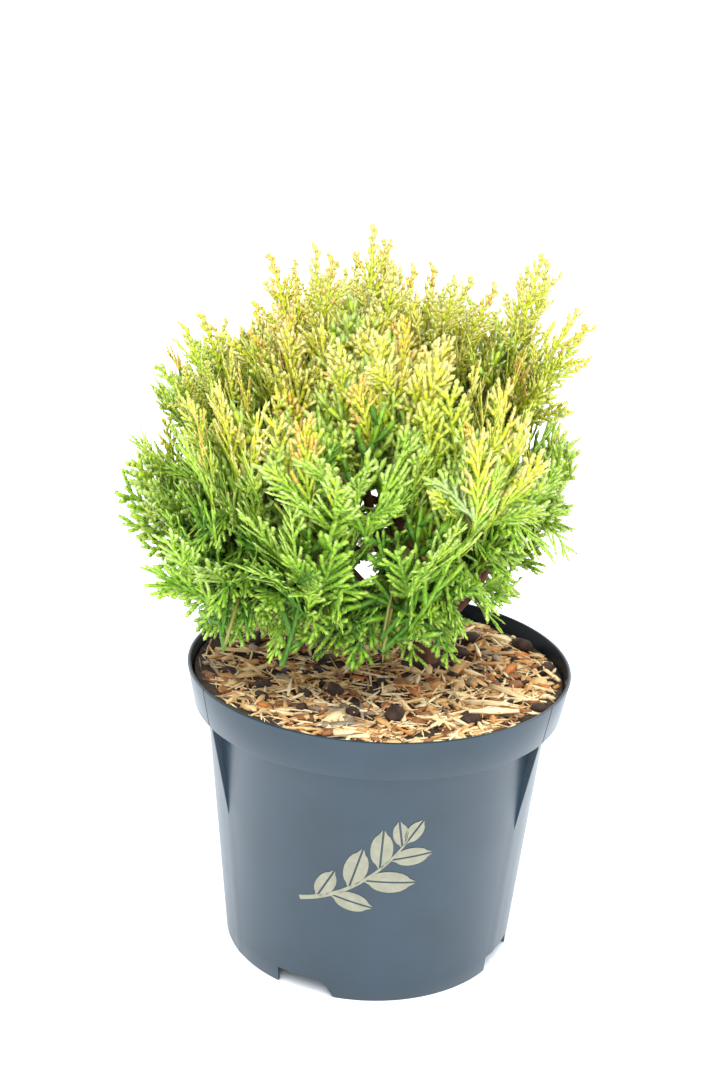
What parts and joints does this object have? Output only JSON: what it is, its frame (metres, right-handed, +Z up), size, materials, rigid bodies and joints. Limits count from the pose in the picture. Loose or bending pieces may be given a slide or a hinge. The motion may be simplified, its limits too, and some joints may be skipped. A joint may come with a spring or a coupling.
{
  "type": "potted golden hiba",
  "caption": "Rounded dwarf conifer bush with flat golden-green sprays on short stems, standing in a round tapered nursery pot topped with wood chips.",
  "frame": {"origin": "on the pot's axis, at the level that the pot stands on", "axes": "+Z up along the pot's axis, -Y towards the front, +X to the right seen from the front"},
  "size_m": [0.2089, 0.1915, 0.3445],
  "materials": {
    "pot": "satin moulded plastic",
    "potting_soil": "crumbly",
    "wood_chips": "rough chips",
    "bark": "thin flaky bark",
    "foliage_gold": "satin scale leaves",
    "foliage_lime": "satin scale leaves",
    "foliage_green": "satin scale leaves"
  },
  "bodies": {
    "root": {"pot": "pot", "potting_soil": "potting_soil", "wood_chip_mulch": "wood_chips", "trunk": "bark", "leader": "bark", "stem_left": "bark", "stem_right": "bark", "stem_front": "bark", "stem_back": "bark", "bough_left_wing": "bark", "bough_left_front_low": "bark", "bough_front_left_low": "bark", "bough_front_right_low": "bark", "bough_right_front_low": "bark", "bough_right_low": "bark", "bough_skirt_front": "bark", "bough_skirt_left": "bark", "bough_left_front_gold": "bark", "bough_right_front_gold": "bark", "bough_right_wing": "bark", "bough_crown_front": "bark", "bough_crown_back": "bark", "bough_top_left": "bark", "bough_top_right": "bark", "bough_back_left_high": "bark", "bough_back_right_high": "bark", "bough_back_left_low": "bark", "bough_back_low": "bark", "bough_back_right_low": "bark", "foliage_left_wing": "foliage_lime", "foliage_left_front_low": "foliage_green", "foliage_front_left_low": "foliage_green", "foliage_front_right_low": "foliage_green", "foliage_right_front_low": "foliage_green", "foliage_right_low": "foliage_green", "foliage_skirt_front": "foliage_green", "foliage_skirt_left": "foliage_green", "foliage_left_shoulder": "foliage_gold", "foliage_left_front_gold": "foliage_gold", "foliage_front_gold": "foliage_gold", "foliage_right_front_gold": "foliage_gold", "foliage_right_wing": "foliage_lime", "foliage_right_shoulder": "foliage_gold", "foliage_crown_front": "foliage_gold", "foliage_crown_back": "foliage_gold", "foliage_top_left": "foliage_gold", "foliage_top": "foliage_gold", "foliage_top_right": "foliage_gold", "foliage_back_left_high": "foliage_gold", "foliage_back_high": "foliage_gold", "foliage_back_right_high": "foliage_gold", "foliage_back_left_low": "foliage_green", "foliage_back_low": "foliage_green", "foliage_back_right_low": "foliage_green"}
  },
  "joints": []
}
